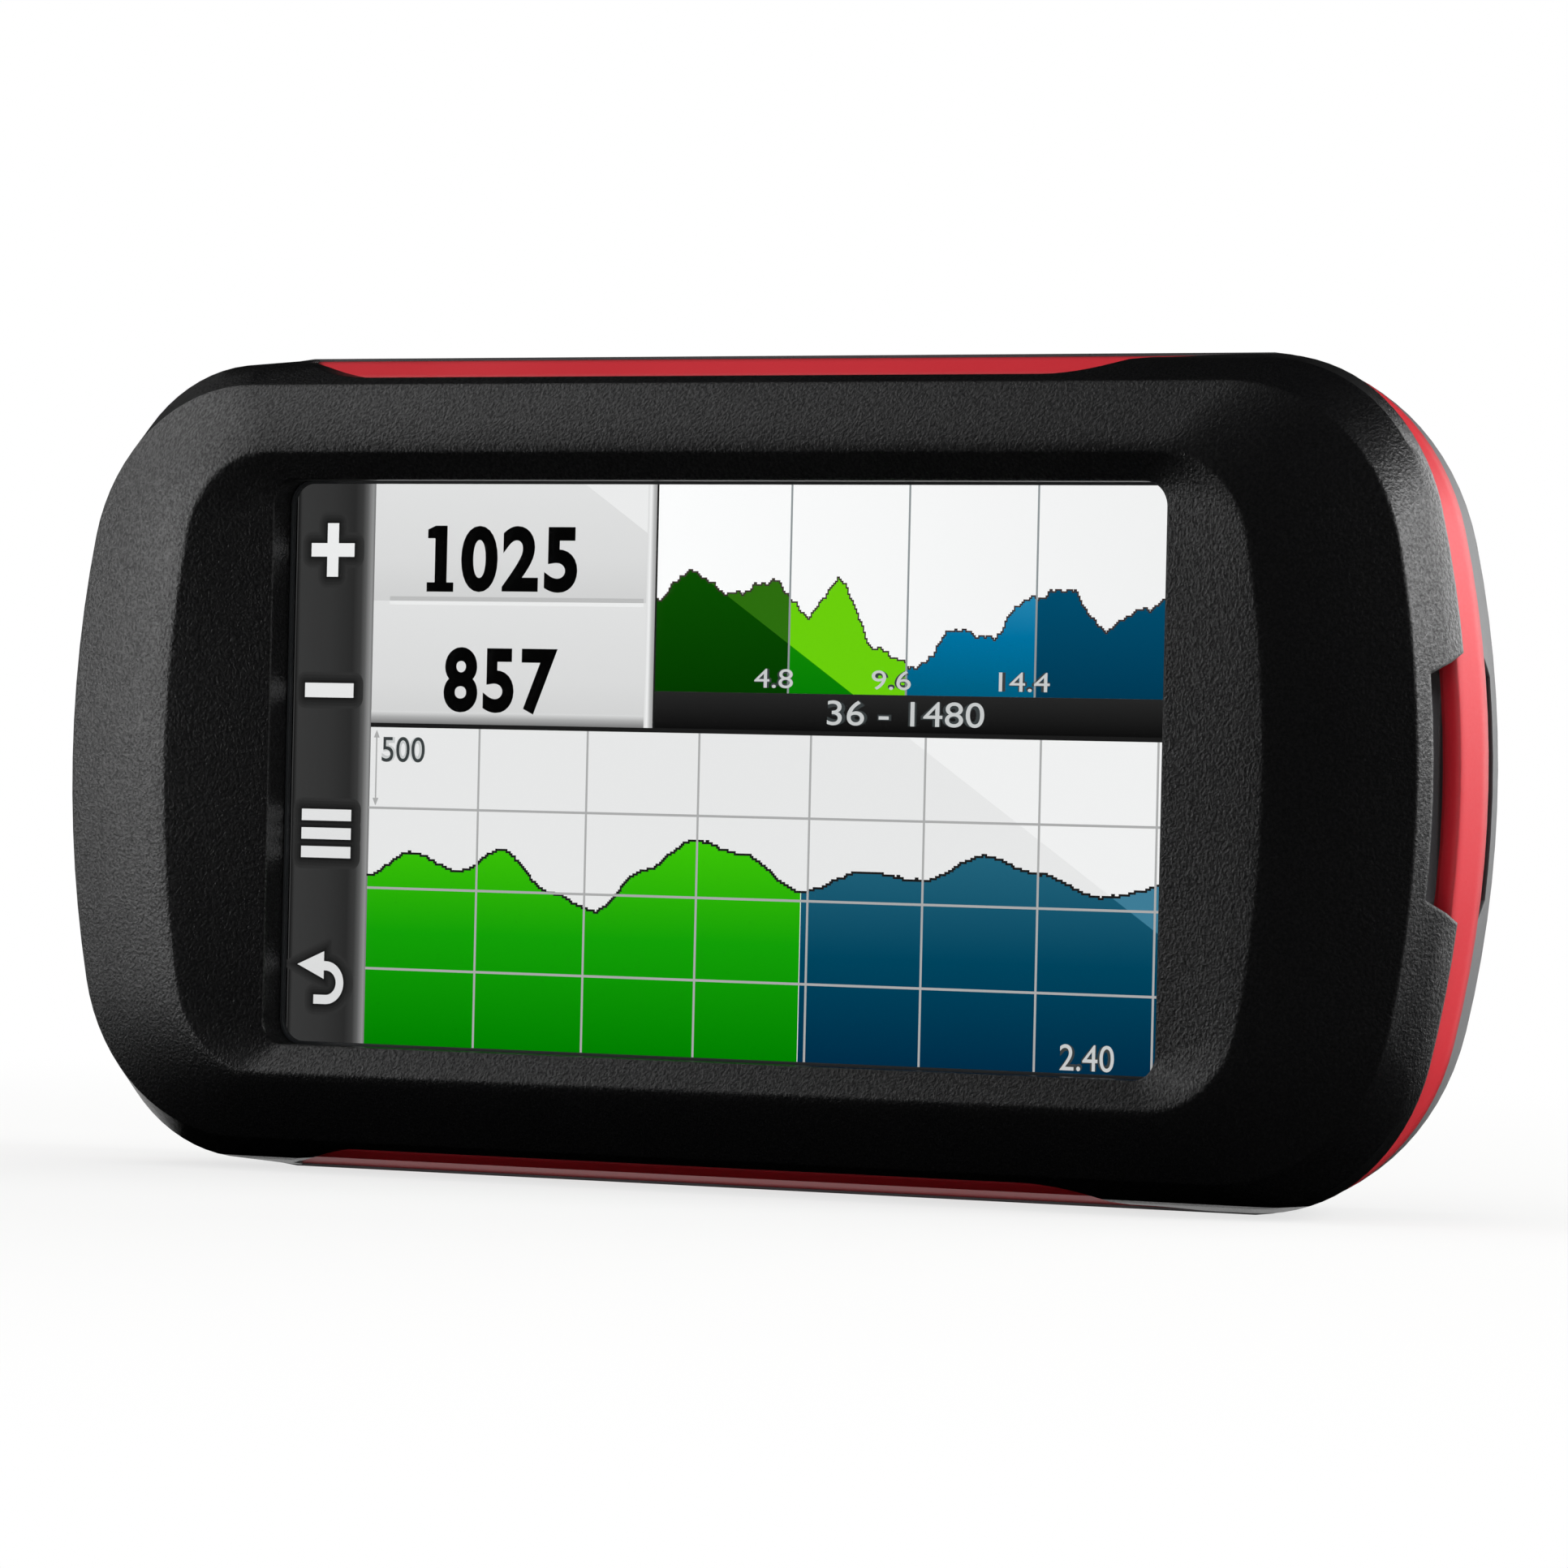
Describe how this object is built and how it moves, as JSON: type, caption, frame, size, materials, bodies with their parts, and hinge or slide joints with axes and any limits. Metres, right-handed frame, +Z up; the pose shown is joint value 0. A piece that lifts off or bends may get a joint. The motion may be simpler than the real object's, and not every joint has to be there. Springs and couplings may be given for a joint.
{
  "type": "handheld gps unit",
  "caption": "Rugged landscape handheld GPS unit with a deep-set touch display, coloured side band, strap slot, latched battery door and hinged weather caps.",
  "frame": {"origin": "on the ground plane, below the centre of the unit as it stands on its long edge", "axes": "+X along the unit's length towards the strap bar, +Y from the display to the rear, +Z up"},
  "size_m": [0.1438, 0.0364, 0.0748],
  "materials": {
    "soft_touch_black": "near-black fine-textured moulding",
    "band_red": "satin red moulding",
    "housing_grey": "dark grey textured moulding",
    "seal_rubber": "black elastomer",
    "cap_rubber": "black rubber, matte",
    "cover_glass": "clear cover glass",
    "lens_glass": "dark coated glass",
    "display_black": "display cell",
    "light_guide": "white light guide",
    "pressed_steel": "bright pressed sheet",
    "satin_steel": "satin stainless steel",
    "satin_aluminium": "satin anodised",
    "part_black": "black moulding",
    "circuit_green": "solder mask",
    "ceramic": "fired ceramic",
    "gold_plate": "gold-plated brass",
    "battery_wrap": "wrapped battery pack"
  },
  "bodies": {
    "unit": {"front_bezel": "soft_touch_black", "side_band": "band_red", "rear_housing": "housing_grey", "main_seal": "seal_rubber", "panel_gasket": "seal_rubber", "touch_panel": "cover_glass", "display_cell": "display_black", "backlight": "light_guide", "display_frame": "pressed_steel", "rf_shield": "pressed_steel", "card_socket": "pressed_steel", "usb_socket": "pressed_steel", "power_switch": "part_black", "audio_socket": "part_black", "memory_card": "part_black", "board_chips": "part_black", "beeper": "part_black", "camera_module": "part_black", "main_board": "circuit_green", "satellite_antenna": "ceramic", "antenna_socket": "gold_plate", "mount_contacts": "gold_plate", "battery_contacts": "gold_plate", "camera_window": "lens_glass", "camera_ring": "satin_aluminium", "battery_pack": "battery_wrap", "housing_screws": "satin_steel"},
    "power_key": {"power_button": "cap_rubber"},
    "door": {"battery_door": "housing_grey", "door_seal": "seal_rubber"},
    "latch": {"latch_barrel": "satin_steel", "latch_pin": "satin_steel", "latch_clip": "satin_steel"},
    "ring": {"latch_ring": "satin_steel"},
    "usb_flap": {"usb_cap": "cap_rubber"},
    "audio_flap": {"audio_cap": "cap_rubber"},
    "antenna_flap": {"antenna_cap": "cap_rubber"}
  },
  "joints": [
    {"name": "power_press", "type": "slide", "parent": "unit", "child": "power_key", "axis": [0, 0, -1], "range_m": [0, 0.0005], "stiffness_N_per_m": 2000},
    {"name": "door_lift", "type": "slide", "parent": "unit", "child": "door", "axis": [0, 1, 0], "range_m": [0, 0.025]},
    {"name": "latch_turn", "type": "hinge", "parent": "door", "child": "latch", "pos_m": [0.044, 0.0147, 0.0374], "axis": [0, -1, 0], "range_deg": [0, 90]},
    {"name": "ring_fold", "type": "hinge", "parent": "latch", "child": "ring", "pos_m": [0.044, 0.017, 0.0374], "axis": [0, 0, 1], "range_deg": [0, 90]},
    {"name": "usb_flap_hinge", "type": "hinge", "parent": "unit", "child": "usb_flap", "pos_m": [0.024, 0.004, 0.074], "axis": [-1, 0, 0], "range_deg": [0, 100]},
    {"name": "audio_flap_hinge", "type": "hinge", "parent": "unit", "child": "audio_flap", "pos_m": [0.0435, 0.004, 0.074], "axis": [-1, 0, 0], "range_deg": [0, 100]},
    {"name": "antenna_flap_hinge", "type": "hinge", "parent": "unit", "child": "antenna_flap", "pos_m": [-0.0465, 0.0154, 0.0574], "axis": [1, 0, 0], "range_deg": [0, 100]}
  ]
}
